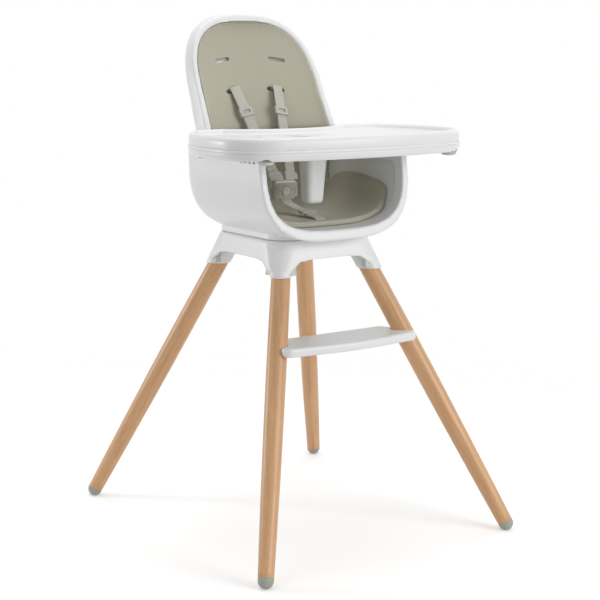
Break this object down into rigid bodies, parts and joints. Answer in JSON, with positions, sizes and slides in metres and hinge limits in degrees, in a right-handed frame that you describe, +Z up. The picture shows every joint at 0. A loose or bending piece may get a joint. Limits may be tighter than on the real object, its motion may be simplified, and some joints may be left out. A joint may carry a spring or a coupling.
{
  "type": "baby high chair",
  "caption": "Baby high chair: moulded bucket seat with foam pad and harness, sliding tray with lift-out insert, swivel hub on splayed round wooden legs, footrest.",
  "frame": {"origin": "on the floor, midway between the four feet", "axes": "+Z up, -Y to the chair's front, +X to the right as seen from the front"},
  "size_m": [0.5702, 0.6602, 0.9599],
  "materials": {
    "white_plastic": "satin moulded",
    "grey_plastic": "matt moulded",
    "cover_plastic": "satin moulded",
    "strap_plastic": "satin moulded",
    "button_plastic": "satin moulded",
    "foam": "matt closed-cell foam",
    "beech": "clear matt lacquer",
    "foot_rubber": "matt",
    "webbing": "woven",
    "steel": "zinc plated"
  },
  "bodies": {
    "base": {"hub_shell": "white_plastic", "hub_cover": "cover_plastic", "hub_cover_screws": "steel", "leg_front_left": "beech", "leg_front_right": "beech", "leg_rear_left": "beech", "leg_rear_right": "beech", "leg_screws": "steel", "foot_front_left": "foot_rubber", "foot_front_right": "foot_rubber", "foot_rear_left": "foot_rubber", "foot_rear_right": "foot_rubber", "footrest": "white_plastic", "footrest_screws": "steel", "glide_ring": "grey_plastic"},
    "seat": {"swivel_plate": "grey_plastic", "swivel_washer": "steel", "swivel_bolt": "steel", "plate_screws": "steel", "seat_shell": "white_plastic", "seat_pad": "foam", "shoulder_strap_left": "webbing", "shoulder_strap_right": "webbing", "shoulder_anchors": "grey_plastic", "waist_strap_left": "webbing", "waist_strap_right": "webbing", "waist_anchors": "grey_plastic", "crotch_strap": "webbing", "crotch_anchor": "steel", "tongue_left": "strap_plastic", "tongue_right": "strap_plastic", "buckle_housing": "strap_plastic"},
    "adjuster_left": {"shoulder_adjuster_left": "strap_plastic"},
    "adjuster_right": {"shoulder_adjuster_right": "strap_plastic"},
    "adjuster_crotch": {"crotch_adjuster": "strap_plastic"},
    "button": {"buckle_button": "button_plastic"},
    "tray": {"tray_base": "white_plastic", "crotch_post": "white_plastic", "post_screws": "steel"},
    "insert": {"tray_insert": "white_plastic"},
    "release_left": {"release_button_left": "button_plastic"},
    "release_right": {"release_button_right": "button_plastic"}
  },
  "joints": [
    {"name": "seat_swivel", "type": "hinge", "parent": "base", "child": "seat", "pos_m": [0, 0, 0.55], "axis": [0, 0, 1], "continuous": true},
    {"name": "tray_slide", "type": "slide", "parent": "seat", "child": "tray", "axis": [0, -1, 0], "range_m": [0, 0.2]},
    {"name": "insert_lift", "type": "slide", "parent": "tray", "child": "insert", "axis": [0, 0, 1], "range_m": [0, 0.1]},
    {"name": "release_press_left", "type": "slide", "parent": "tray", "child": "release_left", "axis": [0, 0, 1], "range_m": [0, 0.003], "stiffness_N_per_m": 800, "springref_m": -0.001},
    {"name": "release_press_right", "type": "slide", "parent": "tray", "child": "release_right", "axis": [0, 0, 1], "range_m": [0, 0.003], "stiffness_N_per_m": 800, "springref_m": -0.001},
    {"name": "buckle_press", "type": "slide", "parent": "seat", "child": "button", "axis": [0, 0.9703, 0.2419], "range_m": [0, 0.002], "stiffness_N_per_m": 1000, "springref_m": -0.0005},
    {"name": "shoulder_adjust_left", "type": "slide", "parent": "seat", "child": "adjuster_left", "axis": [-0.1619, 0.4836, 0.8602], "range_m": [-0.09, 0.02]},
    {"name": "shoulder_adjust_right", "type": "slide", "parent": "seat", "child": "adjuster_right", "axis": [0.1619, 0.4836, 0.8602], "range_m": [-0.09, 0.02]},
    {"name": "crotch_adjust", "type": "slide", "parent": "seat", "child": "adjuster_crotch", "axis": [0, -0.9864, -0.1644], "range_m": [-0.008, 0.008]}
  ]
}
